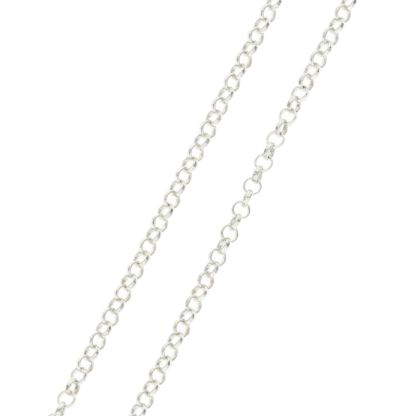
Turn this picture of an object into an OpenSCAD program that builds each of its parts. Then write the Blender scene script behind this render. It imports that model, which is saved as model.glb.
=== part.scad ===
// A rolo chain necklace laid flat as a long loop: round band links that hook into each other,
// two joining rings and a plain ring clasp at the far end of the loop.
// Millimetres, +Z up, strands along Y, resting on the plane z = 0.

/* [Link] */
// Outer diameter of a link
link_d = 3.15; // [2.75:0.05:4]
// Width of the band, measured along the link's axis
band_w = 0.9; // [0.65:0.05:0.95]
// Thickness of the band at its middle
band_t = 0.39; // [0.31:0.02:0.47]
// Height of the crown on the band's outer face
outer_crown = 0.08; // [0.04:0.01:0.16]
// Height of the crown on the band's inner face
inner_crown = 0.12; // [0.1:0.01:0.16]
// Width of the flat in the middle of both faces
flat_w = 0.27; // [0.15:0.01:0.35]

/* [Chain] */
// Length of the whole necklace along its middle line, clasp included
necklace_len = 450; // [400:5:540]
// Distance between the middles of the two strands
strand_gap = 11; // [9:0.5:16]
// Stretch in the middle of the loop where the strands lie side by side
side_by_side = 100; // [90:5:120]
// Radius of the loop's two round ends
end_r = 10; // [9:0.5:14]
// Gap between two links that hook into each other, at the middle of their bands
play = 0.115; // [0.11:0.005:0.16]

/* [Joining rings] */
// Outer diameter of the two joining rings
ring_d = 4; // [3.8:0.1:4.6]
// Wire diameter of the two joining rings
ring_wire = 0.6; // [0.4:0.05:0.65]

/* [Clasp] */
// Outer diameter of the clasp's ring
clasp_d = 5.5; // [5:0.5:7]
// Wire diameter of the clasp's ring
clasp_wire = 1; // [0.8:0.05:1.05]
// Outer diameter of the clasp's eye
eye_d = 3; // [2.8:0.1:3.6]
// Wire diameter of the clasp's eye
eye_wire = 0.6; // [0.5:0.05:0.7]
// Turn of the clasp round the loop's end, away from its middle, in degrees
clasp_turn = -3.4; // [-15:0.1:15]

/* [Hidden] */
$fn = 48;

// How the two strands lie, chosen by hand. The columns are: the place along the loop as a share of
// half the side by side stretch, how far the left and the right strand stray to the right as shares
// of their distance, and how far their links lean in degrees, left side up.
LAY = [
    [1.1, 0, 0, 45, 45],
    [0.608, -0.012, -0.018, 45, 45],
    [0.232, 0, -0.027, 45, 85],
    [0.034, 0.003, 0, 45, 106],
    [-0.236, 0.02, 0.018, 45, 135],
    [-0.668, 0.006, 0.036, 45, 135],
    [-0.848, 0.01, 0.036, 87, 135],
    [-1.088, 0, 0, 135, 135]
];
LEFT_STRAY = 1;
RIGHT_STRAY = 2;
LEFT_LEAN = 3;
RIGHT_LEAN = 4;
ARC_STEPS = 60;
STRAND_STEPS = 240;

// Each link stands across its neighbour, and leans as the chain does when it lies at rest
CROSS = 90;
REST_LEAN = 45;
// Half a turn of twist in all runs round the loop, a quarter of it in each strand
TWIST = -270;

// Slack that two hooked links need beyond the play. The first is a share of a band's half width, for
// each radian that the links turn apart in a bend, and the last is for each millimetre that one of
// them lies higher than the other.
BEND_SLACK = 1.4;
RISE_SLACK = 0.65;
RAD = PI / 180;

link_bore_r = link_d / 2 - band_t;
ring_bore_r = ring_d / 2 - ring_wire;
ring_r = (ring_d - ring_wire) / 2;
main_r = (clasp_d - clasp_wire) / 2;
eye_r = (eye_d - eye_wire) / 2;
straight_pitch = 2 * link_bore_r - play;

// A joining ring rests on the plane, with its neighbours on both sides
ring_z = ring_r * sin(REST_LEAN) + ring_wire / 2;
clasp_z = ring_z;
// The clasp's wires lie in the bores of the joining rings, this far from the rings' middles
seat = ring_bore_r - 1.3 * play - clasp_wire / 2 / sin(REST_LEAN);
clasp_span = 2 * (seat + main_r + eye_r);
half_chord = asin(clasp_span / 2 / end_r);
// The first and the last link hook into a joining ring at this distance from its middle, and the
// ring turns a little from the clasp towards its strand
ring_pitch = ring_bore_r + link_bore_r - 3.2 * play;
RING_TURN = 4;

// Height of a link's middle above its lowest point when it leans by an angle
function half_height(lean) = let (
        up = abs(sin(lean)),
        level = abs(cos(lean))
    ) max(link_d / 2 * up + flat_w / 2 * level, (link_d / 2 - outer_crown) * up + band_w / 2 * level);
function link_z(lean) = max(half_height(lean), half_height(lean + CROSS));

// Middle line of the loop, from the start ring down the left strand and up the right one to the
// end ring. Rows are x, y and lean. mid is the distance of the round ends' centres from y = 0.
function mix(a, b, t) = a + (b - a) * t;
function ease(t) = (1 - cos(180 * min(1, max(0, t)))) / 2;
function lay(column, y) = lookup(y / side_by_side * 2, [for (row = LAY) [row[0], row[column]]]);
function half_gap(y, mid) = let (flare = ease((abs(y) - side_by_side / 2) / (mid - side_by_side / 2)))
    mix(strand_gap / 2, end_r, flare);
function left_row(y, mid) = [
    lay(LEFT_STRAY, y) * strand_gap - half_gap(y, mid), y, -lay(LEFT_LEAN, y)
];
function right_row(y, mid) = [
    lay(RIGHT_STRAY, y) * strand_gap + half_gap(y, mid), y, lay(RIGHT_LEAN, y) + TWIST
];
function end_row(angle, centre_y, lean) = [end_r * cos(angle), centre_y + end_r * sin(angle), lean];
function route(mid) = concat(
    [for (i = [0:ARC_STEPS - 1])
        end_row(mix(90 + clasp_turn + half_chord, 180, i / ARC_STEPS), mid, left_row(mid, mid)[2])],
    [for (i = [0:STRAND_STEPS]) left_row(mix(mid, -mid, i / STRAND_STEPS), mid)],
    [for (i = [1:ARC_STEPS * 2 - 1])
        end_row(mix(180, 360, i / ARC_STEPS / 2), -mid, left_row(-mid, mid)[2])],
    [for (i = [0:STRAND_STEPS]) right_row(mix(-mid, mid, i / STRAND_STEPS), mid)],
    [for (i = [1:ARC_STEPS])
        end_row(mix(0, 90 + clasp_turn - half_chord, i / ARC_STEPS), mid, right_row(mid, mid)[2])]
);
function flat(row) = [row.x, row.y];
function runs(rows) = [for (i = [1:len(rows) - 1]) flat(rows[i]) - flat(rows[i - 1])];
function sums(values) = [
    for (i = 0, s = 0; i <= len(values); s = s + (i < len(values) ? values[i] : 0), i = i + 1) s
];
function total(values) = let (s = sums(values)) s[len(s) - 1];
function loop_len(mid) = total([for (run = runs(route(mid))) norm(run)]) + clasp_span;

// The straight stretches take up whatever the bends leave of the length
first_mid = (necklace_len - 2 * PI * end_r) / 4;
mid_y = first_mid - (loop_len(first_mid) - necklace_len) / 4;
rows = route(mid_y);
run = runs(rows);

// Pitch along each run of the route, and the number of pitches up to each of its rows
function turn(i) = i == 0 ? 0 : asin(cross(run[i - 1], run[i]) / norm(run[i - 1]) / norm(run[i]));
function rise(i) = link_z(rows[i + 1][2]) - link_z(rows[i][2]);
function slack(i) = straight_pitch / norm(run[i]) * (
    BEND_SLACK * band_w / 2 * RAD * abs(turn(i)) + RISE_SLACK * abs(rise(i)));
count = sums([for (i = [0:len(run) - 1]) norm(run[i]) / (straight_pitch - slack(i))]);
dist = sums([for (r = run) norm(r)]);
count_x = [for (i = [0:len(rows) - 1]) [count[i], rows[i].x]];
count_y = [for (i = [0:len(rows) - 1]) [count[i], rows[i].y]];
count_lean = [for (i = [0:len(rows) - 1]) [count[i], rows[i][2]]];
dist_count = [for (i = [0:len(rows) - 1]) [dist[i], count[i]]];
first_count = lookup(ring_pitch, dist_count);
last_count = lookup(dist[len(dist) - 1] - ring_pitch, dist_count);
links = 2 * ceil((last_count - first_count) / 2) + 1;
half_way = floor(links / 2);

function at(c) = [lookup(c, count_x), lookup(c, count_y)];
function link_count(i) = mix(first_count, last_count, i / (links - 1));
function heading(a, b) = atan2(b.y - a.y, b.x - a.x);

// The loop is centred on the origin, though its clasp reaches further than its other end
clasp_reach = end_r * cos(half_chord) * cos(clasp_turn) + eye_r * sin(clasp_turn) + clasp_d / 2;
chain_reach = end_r + link_z(REST_LEAN);
shift_y = (chain_reach - clasp_reach) / 2;

// Both faces are crowned by a flat between two slopes
module band() {
    edge = band_w / 2;
    flat = flat_w / 2;
    outer_r = link_d / 2;
    rotate_extrude()
    polygon([
        [link_bore_r + inner_crown, -edge], [link_bore_r, -flat], [link_bore_r, flat],
        [link_bore_r + inner_crown, edge], [outer_r - outer_crown, edge], [outer_r, flat],
        [outer_r, -flat], [outer_r - outer_crown, -edge]
    ]);
}

module wire_ring(outer_d, wire) {
    rotate_extrude()
    translate([(outer_d - wire) / 2, 0]) circle(d = wire);
}

module lay_link(i) {
    c = link_count(i);
    lean = lookup(c, count_lean);
    translate([at(c).x, at(c).y + shift_y, link_z(lean)])
    rotate([0, 0, heading(at(c - 0.15), at(c + 0.15))])
    rotate([lean + CROSS * (i + 1), 0, 0])
    band();
}

module lay_ring(row, turn, lean) {
    translate([row.x, row.y + shift_y, ring_z])
    rotate([0, 0, clasp_turn + turn])
    rotate([lean, 0, 0])
    wire_ring(ring_d, ring_wire);
}

module left_strand() {
    color("silver")
    for (i = [0:half_way - 1]) lay_link(i);
}

module right_strand() {
    color("silver")
    for (i = [half_way:links - 1]) lay_link(i);
}

module start_ring() {
    color("silver")
    lay_ring(rows[0], 180 + RING_TURN, rows[0][2]);
}

module end_ring() {
    n = len(rows) - 1;
    color("silver")
    lay_ring(rows[n], 180 - RING_TURN, rows[n][2] + CROSS * (links + 1));
}

module clasp() {
    color("silver")
    translate([0, mid_y + shift_y, clasp_z])
    rotate([0, 0, clasp_turn])
    translate([eye_r, end_r * cos(half_chord), 0]) {
        wire_ring(clasp_d, clasp_wire);
        translate([-main_r - eye_r, 0, 0]) wire_ring(eye_d, eye_wire);
    }
}

left_strand();
right_strand();
start_ring();
end_ring();
clasp();
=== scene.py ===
"""Looks of a rolo chain necklace in polished silver, lying as a long loop on a white floor."""
import math

import bpy
import numpy as np
from mathutils import Matrix, Vector

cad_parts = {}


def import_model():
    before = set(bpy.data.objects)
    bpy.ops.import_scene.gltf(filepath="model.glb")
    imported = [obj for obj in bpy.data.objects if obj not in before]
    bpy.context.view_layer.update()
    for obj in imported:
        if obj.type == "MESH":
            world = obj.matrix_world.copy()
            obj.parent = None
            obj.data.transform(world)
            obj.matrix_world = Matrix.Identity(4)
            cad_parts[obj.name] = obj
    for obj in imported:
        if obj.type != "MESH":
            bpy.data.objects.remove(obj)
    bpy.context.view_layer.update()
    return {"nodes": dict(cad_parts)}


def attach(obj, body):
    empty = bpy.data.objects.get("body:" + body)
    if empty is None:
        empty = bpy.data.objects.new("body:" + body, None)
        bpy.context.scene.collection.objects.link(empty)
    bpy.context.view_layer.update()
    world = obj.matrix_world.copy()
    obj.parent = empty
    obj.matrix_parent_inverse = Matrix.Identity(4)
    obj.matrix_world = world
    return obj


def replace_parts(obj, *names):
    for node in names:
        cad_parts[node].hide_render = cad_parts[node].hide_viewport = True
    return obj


MM = 0.001

# The link's band, in millimetres
LINK_R = 1.575
BAND_W = 0.9
BAND_T = 0.42
# How square its section is: 2 for an ellipse, more for flatter faces
BAND_SQUARENESS = 2.8
# How gradually its inside passes into its outside, by the cosine of the angle round its section
INSIDE_BLEND = 0.5
# That cosine where a round wire's inside starts
WIRE_INSIDE = -0.3

# Unevenness of hand-finished rings, in millimetres: out of round, the rise of the corner at the
# soldered seam, the seam's depth, and for each wave round the ring how often it comes and its rise
OVAL = 0.02
CORNER_RISE = 0.12
SEAM_DEPTH = 0.015
WAVES = ((5, 0.008), (9, 0.01), (14, 0.01), (22, 0.008), (31, 0.005))
# Most that a wave leans over across the band, in radians for each millimetre
WAVE_LEAN = 3
# Unevenness of the band's width: the share that it loses at the seam, how often it swells round the
# ring, and by what share
SEAM_PINCH = 0.05
WIDTH_SWELLS = 3
WIDTH_SWELL = 0.015
# Half widths of the seam, its tinted patch (at three listed gaps, painted shade) and its corner round the
# ring, in radians
SEAM_ANGLE = 0.05
PATCH_ANGLE = 0.3
CORNER_ANGLE = 0.35
# Most that an ordinary seam shows
PLAIN_SHOW = 0.3
# How narrowly the painted warm reflection lies round the ends where neighbours hook in
HOOK_POWER = 6
# Most that a link lies off its place each way, in millimetres, and the spread of its tilts, in degrees
MOVE = 0.01
TILT_SPREAD = 1.2
# Links that lie turned round the chain's own line, in degrees
TURNED = {-43: -5, -45: -10}

# Seams that show, as the angle round the link from the next one on, in degrees, and as shares how high
# their corner is and how bronze their patch. The bronze patches at 180 degrees on links 50, 59 and 66 are
# painted shade in the gaps where a neighbour hooks in. Links are counted from 0 at the start ring, or back
# from -1 at the end ring.
SEAMS_AND_PAINTED_SHADE = {
    37: (80, 0.5, 1), 43: (80, 1, 0.1), 47: (75, 0.7, 0.2), 49: (110, 0.4, 0.8), 50: (180, 0.4, 1),
    51: (-95, 1, 0.1), 53: (15, 0.4, 0.8), 56: (-90, 0.5, 1.2), 57: (85, 0.4, 0.7),
    59: (180, 0.4, 1), 63: (85, 0.4, 1), 65: (95, 0.4, 0.9), 66: (180, 0.4, 0.8),
    -37: (-75, 0.3, 0.6), -41: (-80, 0.3, 0.6), -54: (-60, 0.4, 0.9), -55: (90, 0.4, 1),
    -58: (-90, 0.6, 1), -62: (95, 0.7, 0.4), -64: (-60, 0.3, 0.5)
}
# A ring without a seam
SMOOTH = (0, 0, 0)

# Seeds of the random draws for the links and for the rings of wire
LINK_SEED = 7
WIRE_SEED = 3
# Most that a ring's place in the metal's patterns is shifted each way, in millimetres
PATTERN_SHIFT = 100

# Colours of the metal, its roughness, and how warm the bands' insides are painted where neighbours hook in,
# as painted reflection between touching links
SILVER = (0.838, 0.842, 0.806)
WARM = (0.96, 0.92, 0.82)
# The seams' bronze, also used as painted shade in three gaps between links
BRONZE = (0.76, 0.655, 0.485)
GREENISH = (0.81, 0.815, 0.735)
ROUGHNESS = 0.16
PAINTED_HOOK_REFLECTION = 0.9

# Patterns in the metal, as the scale of their noise for each millimetre and its detail
CLOUDS = (0.9, 2)
SPOTS = (2.6, 3)
MOTTLE = (4, 3)
LINES = (2.2, 4)
GRAIN = (26, 3)
# The polishing lines run round a ring, so their noise is stretched round it and fine along its axis
LINES_STRETCH = (0.6, 0.6, 14)
# How strongly clouds, spots and mottle show, as stops of noise and share
CLOUD_STOPS = ((0, 0), (0.45, 0), (0.7, 1), (1, 1))
SPOT_STOPS = ((0, 0), (0.55, 0), (0.72, 1), (1, 1))
MOTTLE_STOPS = ((0, 0.4), (0.4, 0.5), (0.6, 1), (1, 1))
# How warm the clouds are and how green the spots
CLOUD_WARMTH = 0.5
SPOT_GREEN = 0.6
# How far the lines spread the roughness, and how much a seam adds to it
LINES_ROUGHNESS = 0.16
SEAM_ROUGHNESS = 0.2
# The bumps of lines and grain: their strength, their depth in millimetres, and the grain's share
BUMP_STRENGTH = 0.25
BUMP_DEPTH = 0.006
GRAIN_SHARE = 0.25

# The studio's walls: how far they are turned from the picture's upright, their greatest brightness,
# its share by how much they face along that turned upright (0 to 1), and its share by how far they lie
# from the picture's left to its right (0 to 1)
WALL_TURN = math.radians(5)
WALL_LEVEL = 1.07
WALL_AHEAD = ((0, 0.36), (0.12, 0.57), (0.34, 0.86), (1, 0.96))
WALL_ASIDE = ((0, 0.55), (0.25, 1), (0.75, 1), (1, 0.45))

# The floor: half its width in metres, how far it lies below the chain in millimetres, and its surface
FLOOR_HALF = 1.5
FLOOR_DROP = 0.02
FLOOR_DIFFUSE = 0.25
FLOOR_GLOW = 0.83
FLOOR_ROUGHNESS = 0.9
FLOOR_SPECULAR = 0.1

# The joining rings and the clasp's ring and eye, in millimetres: radius at the wire's middle, and the
# wire's thickness
RING = (1.7, 0.6)
MAIN = (2.25, 1.0)
EYE = (1.2, 0.6)

# The camera looks down at the strands, and they lean to the right in its picture
TILT = math.radians(18)
STRAND_LEAN = math.radians(26.46)
TARGET = Vector((0.52, -0.6, 1.3)) * MM
PICTURE_W = 67.6 * MM
# The picture's directions on the floor: away from the camera, and to its right
AWAY = Vector((-math.sin(STRAND_LEAN), math.cos(STRAND_LEAN), 0))
ASIDE = Vector((math.cos(STRAND_LEAN), math.sin(STRAND_LEAN), 0))
# The camera's distance in metres, its sensor's width in millimetres, and how near and how far it sees
# in metres
CAMERA_DISTANCE = 1.2
SENSOR_W = 36
NEAREST = 0.01
FARTHEST = 100

# Half the stretch along the strands whose links get fine meshes, in millimetres
FINE_HALF = 42
# Points across the section and round the ring
FINE_STEPS = (22, 96)
PLAIN_STEPS = (16, 64)
RING_STEPS = (20, 96)
CLASP_STEPS = (24, 128)


def islands(mesh):
    """Area-weighted centre and axis of each loose ring of a CAD mesh, in millimetres."""
    points = np.empty(len(mesh.vertices) * 3)
    mesh.vertices.foreach_get("co", points)
    points = points.reshape(-1, 3) / MM
    mesh.calc_loop_triangles()
    tris = np.empty(len(mesh.loop_triangles) * 3, int)
    mesh.loop_triangles.foreach_get("vertices", tris)
    tris = tris.reshape(-1, 3)
    welded = np.unique(np.round(points, 4), axis=0, return_inverse=True)[1].reshape(-1)
    faces = welded[tris]
    label = np.arange(welded.max() + 1)
    while True:
        lower = label.copy()
        np.minimum.at(lower, faces.ravel(), np.repeat(label[faces].min(axis=1), 3))
        lower = lower[lower]
        if (lower == label).all():
            break
        label = lower
    corners = points[tris]
    middles = corners.mean(axis=1)
    areas = np.linalg.norm(np.cross(corners[:, 1] - corners[:, 0], corners[:, 2] - corners[:, 0]), axis=1)
    rings = []
    for name in np.unique(label[faces[:, 0]]):
        own = label[faces[:, 0]] == name
        weight = areas[own] / areas[own].sum()
        centre = weight @ middles[own]
        off = middles[own] - centre
        axis = np.linalg.eigh((off * weight[:, None]).T @ off)[1][:, 0]
        rings.append((centre, axis))
    return rings


def in_order(rings, start):
    """The rings sorted as a chain, each the nearest one left to the one before it."""
    left = list(rings)
    line = []
    here = start
    while left:
        k = min(range(len(left)), key=lambda i: np.linalg.norm(left[i][0] - here))
        here = left[k][0]
        line.append(left.pop(k))
    return line


def frames(line):
    """Centre and axes of each ring of a chain: along the chain, across it, and the ring's own axis."""
    out = []
    for i, (centre, axis) in enumerate(line):
        along = line[min(i + 1, len(line) - 1)][0] - line[max(i - 1, 0)][0]
        axis = axis if axis[2] > 0 else -axis
        along = along - axis * (axis @ along)
        along = along / np.linalg.norm(along)
        out.append((centre, np.stack([along, np.cross(axis, along), axis], axis=1)))
    return out


def band_section(steps):
    """Closed outline of the band as rows of radius and height, and how far inside each point is, 0 to 1."""
    t = np.linspace(0, 2 * math.pi, steps, endpoint=False)
    out, up = np.cos(t), np.sin(t)
    power = 2 / BAND_SQUARENESS
    radius = LINK_R - BAND_T / 2 + BAND_T / 2 * np.sign(out) * np.abs(out) ** power
    height = BAND_W / 2 * np.sign(up) * np.abs(up) ** power
    return np.stack([radius, height], axis=1), np.clip(0.5 - out / INSIDE_BLEND, 0, 1)


def wire_section(radius, wire, steps):
    """The same for a round wire."""
    t = np.linspace(0, 2 * math.pi, steps, endpoint=False)
    section = np.stack([radius + wire / 2 * np.cos(t), wire / 2 * np.sin(t)], axis=1)
    return section, (np.cos(t) < WIRE_INSIDE).astype(float)


def ring_points(section, around, centre, axes, rng, listed_mark=None):
    """Vertices of one hand-finished ring, with its seam's tint (painted shade at some listed marks) and the
    place of each one in the metal.
    """
    t = np.linspace(0, 2 * math.pi, around, endpoint=False)[:, None]
    radius, height = section[None, :, 0], section[None, :, 1]
    oval, turn = rng.uniform(0, OVAL), rng.uniform(0, 2 * math.pi)
    at, show = rng.uniform(0, 2 * math.pi), rng.uniform(0, PLAIN_SHOW)
    tint_and_shade = show
    if listed_mark is not None:
        at, show, tint_and_shade = math.radians(listed_mark[0]), listed_mark[1], listed_mark[2]
    off = np.abs((t - at + math.pi) % (2 * math.pi) - math.pi)
    seam = show * np.exp(-(off / SEAM_ANGLE) ** 2)
    # Tint of the seam's patch; at some listed marks it is painted shade in a gap between links
    tint_and_shade_patch = tint_and_shade * np.exp(-(off / PATCH_ANGLE) ** 2)
    corner = show * np.maximum(0, 1 - off / CORNER_ANGLE)
    radius = radius + oval * np.cos(2 * (t - turn)) + CORNER_RISE * corner - SEAM_DEPTH * seam
    for waves, rise in WAVES:
        lean, phase = rng.uniform(-WAVE_LEAN, WAVE_LEAN), rng.uniform(0, 2 * math.pi)
        radius = radius + rise * np.sin(waves * t + lean * height + phase)
    height = height * (1 - SEAM_PINCH * seam + WIDTH_SWELL * np.sin(WIDTH_SWELLS * t + turn))
    local = np.stack([radius * np.cos(t), radius * np.sin(t), height], axis=2).reshape(-1, 3)
    place = local + rng.uniform(-PATTERN_SHIFT, PATTERN_SHIFT, 3)
    points = centre + local @ axes.T
    # Nothing sinks below the surface that the chain lies on
    points[:, 2] = np.maximum(points[:, 2], 0)
    return points, np.repeat(tint_and_shade_patch, section.shape[0]), place


def rings_object(name, rings, material):
    """One mesh of many rings.

    Each is given as its vertices, their seam's tint (painted shade at some listed marks) and place, how far
    inside its section's points are (made into a painted warm reflection where neighbours hook in), and the
    numbers of points round the ring and across its section.
    """
    points, faces, tints_and_shades, places, hook_reflections = [], [], [], [], []
    count = 0
    for vertices, seam, place, inside, around, across in rings:
        i = np.arange(around)[:, None]
        j = np.arange(across)[None, :]
        a = i * across + j
        b = (i + 1) % around * across + j
        c = (i + 1) % around * across + (j + 1) % across
        d = i * across + (j + 1) % across
        faces.append(np.stack([a, b, c, d], axis=2).reshape(-1, 4) + count)
        points.append(vertices)
        tints_and_shades.append(seam)
        places.append(place)
        # Painted warm reflection between touching links: the band's inside, strongest at both ends where
        # neighbours hook in
        hook = np.cos(np.linspace(0, 2 * math.pi, around, endpoint=False)) ** HOOK_POWER
        hook_reflections.append((hook[:, None] * inside[None, :]).ravel())
        count += len(vertices)
    mesh = bpy.data.meshes.new(name)
    mesh.from_pydata((np.concatenate(points) * MM).tolist(), [], np.concatenate(faces).tolist())
    mesh.polygons.foreach_set("use_smooth", np.ones(len(mesh.polygons), bool))
    # The seam's tint, with painted shade at some listed marks, and the painted warm reflection where
    # neighbours hook in
    for label, values in (("seam", tints_and_shades), ("inside", hook_reflections)):
        layer = mesh.attributes.new(label, "FLOAT", "POINT")
        layer.data.foreach_set("value", np.concatenate(values).astype(np.float32))
    layer = mesh.attributes.new("place", "FLOAT_VECTOR", "POINT")
    layer.data.foreach_set("vector", np.concatenate(places).astype(np.float32).ravel())
    mesh.materials.append(material)
    mesh.update()
    piece = bpy.data.objects.new(name, mesh)
    bpy.context.scene.collection.objects.link(piece)
    return piece


def settled(centre, axes, rng, turned):
    """A link's centre and axes, moved and tilted a little as it happens to lie."""
    tilt = Matrix.Rotation(math.radians(turned + rng.normal(0, TILT_SPREAD)), 3, "X")
    swing = Matrix.Rotation(math.radians(rng.normal(0, TILT_SPREAD)), 3, "Y")
    return centre + rng.uniform(-MOVE, MOVE, 3), axes @ np.array(tilt @ swing)


def chain_pieces(nodes, material):
    """The links of both strands, with fine meshes in the stretch that the picture shows."""
    start = islands(nodes["start_ring"].data)[0][0]
    left = in_order(islands(nodes["left_strand"].data), start)
    right = in_order(islands(nodes["right_strand"].data), left[-1][0])
    placed = frames(left + right)
    fine = (band_section(FINE_STEPS[0]), FINE_STEPS[1])
    plain = (band_section(PLAIN_STEPS[0]), PLAIN_STEPS[1])
    rng = np.random.default_rng(LINK_SEED)
    groups = {"left_links": [], "left_links_far": [], "right_links": [], "right_links_far": []}
    for i, (centre, axes) in enumerate(placed):
        near = abs(centre[1]) < FINE_HALF
        side = "left_links" if i < len(left) else "right_links"
        (section, inside), around = fine if near else plain
        number = i if i < len(left) else i - len(placed)
        centre, axes = settled(centre, axes, rng, TURNED.get(number, 0))
        ring = ring_points(section, around, centre, axes, rng, SEAMS_AND_PAINTED_SHADE.get(number))
        groups[side if near else side + "_far"].append((*ring, inside, around, len(section)))
    pieces = []
    for name, rings in groups.items():
        piece = rings_object(name, rings, material)
        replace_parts(piece, "left_strand" if name.startswith("left") else "right_strand")
        pieces.append(piece)
    return pieces


def clasp_middles(mesh):
    """Middles of the clasp's ring and of its eye, in millimetres, from the outline of the CAD clasp."""
    points = np.array([v.co[:] for v in mesh.vertices]) / MM
    middle = (points.max(axis=0) + points.min(axis=0)) / 2
    flat = points[:, :2] - middle[:2]
    along = np.linalg.eigh(flat.T @ flat)[1][:, 1]
    across = np.array([-along[1], along[0]])
    place, side = flat @ along, flat @ across
    split = (place.max() + place.min()) / 2
    if np.ptp(side[place > split]) < np.ptp(side[place < split]):
        along, place = -along, -place
    centre = middle[:2] + across * (side.max() + side.min()) / 2
    main = centre + along * (place.max() - MAIN[0] - MAIN[1] / 2)
    eye = centre + along * (place.min() + EYE[0] + EYE[1] / 2)
    return [np.array([*flat_place, middle[2]]) for flat_place in (main, eye)]


def wire_pieces(nodes, material):
    """The joining rings and the clasp."""
    rng = np.random.default_rng(WIRE_SEED)
    pieces = []
    across, around = RING_STEPS
    section, inside = wire_section(*RING, across)
    for node in ("start_ring", "end_ring"):
        centre, axis = islands(nodes[node].data)[0]
        # A ring has no neighbour in its own node, so one is made up to its left
        axes = frames([(centre - [1, 0, 0], axis), (centre, axis)])[1][1]
        ring = ring_points(section, around, centre, axes, rng)
        piece = rings_object(node + "_wire", [(*ring, inside, around, across)], material)
        pieces.append(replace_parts(piece, node))
    across, around = CLASP_STEPS
    rings = []
    for sizes, middle in zip((MAIN, EYE), clasp_middles(nodes["clasp"].data)):
        section, inside = wire_section(*sizes, across)
        ring = ring_points(section, around, middle, np.eye(3), rng, SMOOTH)
        rings.append((*ring, inside, around, across))
    pieces.append(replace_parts(rings_object("clasp_rings", rings, material), "clasp"))
    return pieces


def add_node(tree, kind, **inputs):
    """A new node whose named inputs are linked to a socket or set to a value."""
    node = tree.nodes.new("ShaderNode" + kind)
    for name, value in inputs.items():
        socket = node.inputs[name.replace("_", " ")]
        if isinstance(value, bpy.types.NodeSocket):
            tree.links.new(value, socket)
        else:
            socket.default_value = value
    return node


def noise(tree, place, scale, detail):
    """Noise from 0 to 1 at a place in the metal."""
    return add_node(tree, "TexNoise", Vector=place, Scale=scale, Detail=detail).outputs["Fac"]


def stretched(tree, place, factors):
    """A place with its three coordinates multiplied by factors."""
    node = add_node(tree, "VectorMath")
    node.operation = "MULTIPLY"
    tree.links.new(place, node.inputs[0])
    node.inputs[1].default_value = factors
    return node.outputs["Vector"]


def dot(tree, vector, direction):
    """How much a vector points in a direction."""
    node = add_node(tree, "VectorMath")
    node.operation = "DOT_PRODUCT"
    tree.links.new(vector, node.inputs[0])
    node.inputs[1].default_value = direction
    return node.outputs["Value"]


def maths(tree, operation, *values):
    """Result of a calculation on sockets or numbers."""
    node = add_node(tree, "Math")
    node.operation = operation
    for socket, value in zip(node.inputs, values):
        if isinstance(value, bpy.types.NodeSocket):
            tree.links.new(value, socket)
        else:
            socket.default_value = value
    return node.outputs["Value"]


def ramp(tree, value, *stops):
    """The level of a value on a smooth curve through stops of value and level."""
    node = add_node(tree, "FloatCurve", Value=value)
    curve = node.mapping.curves[0]
    for place, level in stops[1:-1]:
        curve.points.new(place, level)
    for point, (place, level) in zip(curve.points, stops):
        point.location = (place, level)
        point.handle_type = "AUTO_CLAMPED"
    node.mapping.update()
    return node.outputs["Value"]


def blend_colour(tree, share, first, second):
    """The first colour, and the second one where share is 1."""
    node = add_node(tree, "Mix")
    node.data_type = "RGBA"
    tree.links.new(share, node.inputs["Factor"])
    for label, colour in (("A", first), ("B", second)):
        socket = [i for i in node.inputs if i.name == label and i.type == "RGBA"][0]
        if isinstance(colour, bpy.types.NodeSocket):
            tree.links.new(colour, socket)
        else:
            socket.default_value = (*colour, 1)
    return [o for o in node.outputs if o.type == "RGBA"][0]


def silver_material():
    """Polished silver with an uneven polish, warmer along seams and in clouds, with painted warm reflection
    where links hook in and painted shade in three gaps.
    """
    material = bpy.data.materials.new("silver")
    material.use_nodes = True
    tree = material.node_tree
    shader = tree.nodes["Principled BSDF"]
    place = add_node(tree, "Attribute").outputs["Vector"]
    place.node.attribute_name = "place"
    seam = add_node(tree, "Attribute").outputs["Fac"]
    seam.node.attribute_name = "seam"
    inside = add_node(tree, "Attribute").outputs["Fac"]
    inside.node.attribute_name = "inside"
    clouds = ramp(tree, noise(tree, place, *CLOUDS), *CLOUD_STOPS)
    spots = ramp(tree, noise(tree, place, *SPOTS), *SPOT_STOPS)
    mottle = ramp(tree, noise(tree, place, *MOTTLE), *MOTTLE_STOPS)
    lines = noise(tree, stretched(tree, place, LINES_STRETCH), *LINES)
    grain = noise(tree, place, *GRAIN)
    cloud_share = maths(tree, "MULTIPLY", clouds, CLOUD_WARMTH)
    # Warmth of the clouds, plus a painted warm reflection inside the bands where neighbours hook in
    cloud_warmth_and_painted_reflection = maths(tree, "MULTIPLY_ADD", inside, PAINTED_HOOK_REFLECTION, cloud_share)
    colour = blend_colour(tree, maths(tree, "MULTIPLY", spots, SPOT_GREEN), SILVER, GREENISH)
    colour = blend_colour(tree, maths(tree, "MINIMUM", cloud_warmth_and_painted_reflection, 1), colour, WARM)
    # Bronze of the seams, and painted shade in the gaps of three listed links
    bronze_and_painted_shade = maths(tree, "MINIMUM", maths(tree, "MULTIPLY", seam, mottle), 1)
    colour = blend_colour(tree, bronze_and_painted_shade, colour, BRONZE)
    tree.links.new(colour, shader.inputs["Base Color"])
    least = ROUGHNESS - LINES_ROUGHNESS / 2
    polish = maths(tree, "MULTIPLY_ADD", lines, LINES_ROUGHNESS, least)
    polish = maths(tree, "MULTIPLY_ADD", seam, SEAM_ROUGHNESS, polish)
    tree.links.new(polish, shader.inputs["Roughness"])
    shader.inputs["Metallic"].default_value = 1
    height = maths(tree, "MULTIPLY_ADD", grain, GRAIN_SHARE, lines)
    bump = add_node(tree, "Bump", Height=height, Strength=BUMP_STRENGTH, Distance=BUMP_DEPTH * MM)
    tree.links.new(bump.outputs["Normal"], shader.inputs["Normal"])
    return material


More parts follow.
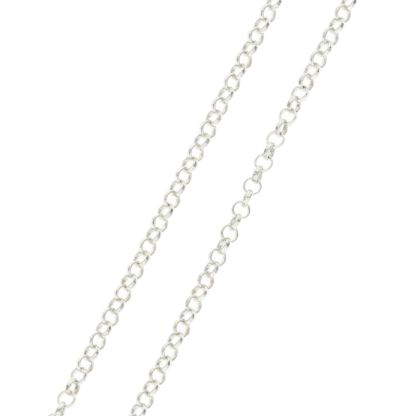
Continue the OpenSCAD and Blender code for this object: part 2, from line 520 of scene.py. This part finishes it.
def studio_world():
    """Pale walls, brightest ahead of the camera and behind it and greyer to both sides."""
    world = bpy.data.worlds.new("studio")
    bpy.context.scene.world = world
    world.use_nodes = True
    tree = world.node_tree
    way = add_node(tree, "TexCoord").outputs["Generated"]
    facing = AWAY * math.cos(WALL_TURN) - ASIDE * math.sin(WALL_TURN)
    ahead = ramp(tree, maths(tree, "ABSOLUTE", dot(tree, way, facing)), *WALL_AHEAD)
    aside = ramp(tree, maths(tree, "MULTIPLY_ADD", dot(tree, way, ASIDE), 0.5, 0.5), *WALL_ASIDE)
    level = maths(tree, "MULTIPLY", maths(tree, "MULTIPLY", ahead, aside), WALL_LEVEL)
    tree.links.new(level, tree.nodes["Background"].inputs["Strength"])
    tree.nodes["Background"].inputs["Color"].default_value = (1, 1, 1, 1)


def add_floor():
    """A pale floor that glows a little, just below the chain."""
    mesh = bpy.data.meshes.new("floor")
    sides = ((-1, -1), (1, -1), (1, 1), (-1, 1))
    corners = [(x * FLOOR_HALF, y * FLOOR_HALF, -FLOOR_DROP * MM) for x, y in sides]
    mesh.from_pydata(corners, [], [(0, 1, 2, 3)])
    floor = bpy.data.objects.new("floor", mesh)
    bpy.context.scene.collection.objects.link(floor)
    material = bpy.data.materials.new("floor")
    material.use_nodes = True
    shader = material.node_tree.nodes["Principled BSDF"]
    shader.inputs["Base Color"].default_value = (FLOOR_DIFFUSE, FLOOR_DIFFUSE, FLOOR_DIFFUSE, 1)
    shader.inputs["Roughness"].default_value = FLOOR_ROUGHNESS
    shader.inputs["Specular IOR Level"].default_value = FLOOR_SPECULAR
    shader.inputs["Emission Color"].default_value = (1, 1, 1, 1)
    shader.inputs["Emission Strength"].default_value = FLOOR_GLOW
    mesh.materials.append(material)


def add_camera():
    """The camera, as far off as a telephoto view needs, with the picture's width set at the chain."""
    data = bpy.data.cameras.new("camera")
    data.sensor_width = SENSOR_W
    data.lens = SENSOR_W * CAMERA_DISTANCE / PICTURE_W
    data.clip_start = NEAREST
    data.clip_end = FARTHEST
    camera = bpy.data.objects.new("camera", data)
    back = Vector((0, 0, math.cos(TILT))) - AWAY * math.sin(TILT)
    up = back.cross(ASIDE)
    camera.matrix_world = Matrix((ASIDE, up, back)).transposed().to_4x4()
    camera.matrix_world.translation = TARGET + back * CAMERA_DISTANCE
    bpy.context.scene.collection.objects.link(camera)
    bpy.context.scene.camera = camera


def main():
    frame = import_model()
    silver = silver_material()
    for piece in chain_pieces(frame["nodes"], silver) + wire_pieces(frame["nodes"], silver):
        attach(piece, "root")
    add_floor()
    studio_world()
    bpy.context.scene.view_settings.view_transform = "Standard"
    add_camera()
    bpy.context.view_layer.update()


main()
